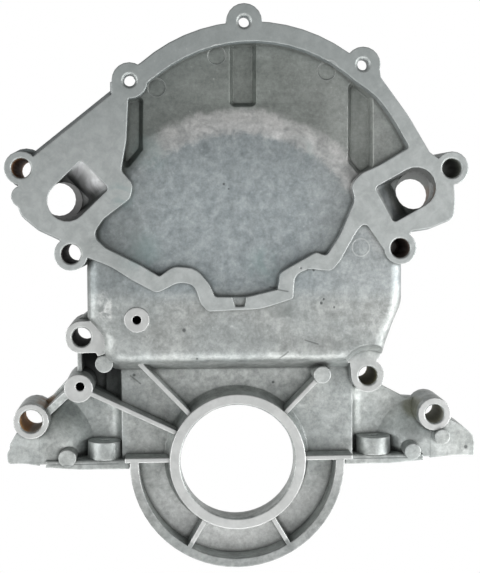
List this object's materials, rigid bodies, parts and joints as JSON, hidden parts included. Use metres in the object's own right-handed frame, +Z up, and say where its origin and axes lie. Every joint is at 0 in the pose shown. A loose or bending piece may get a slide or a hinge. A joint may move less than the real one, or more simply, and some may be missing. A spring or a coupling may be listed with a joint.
{
  "type": "timing cover",
  "caption": "Die cast timing cover with a pump pocket, chain case, crankshaft seal ring, water ports and bolt bosses.",
  "frame": {"origin": "on the crankshaft line, in the plane of the face that meets the engine block", "axes": "+Z up the engine along the line of the bores, +X to the right seen from the front, -Y forwards out of the front"},
  "size_m": [0.2963, 0.054, 0.3442],
  "materials": {
    "casting": "die cast with machined faces"
  },
  "bodies": {
    "root": {"timing_cover": "casting"}
  },
  "joints": []
}
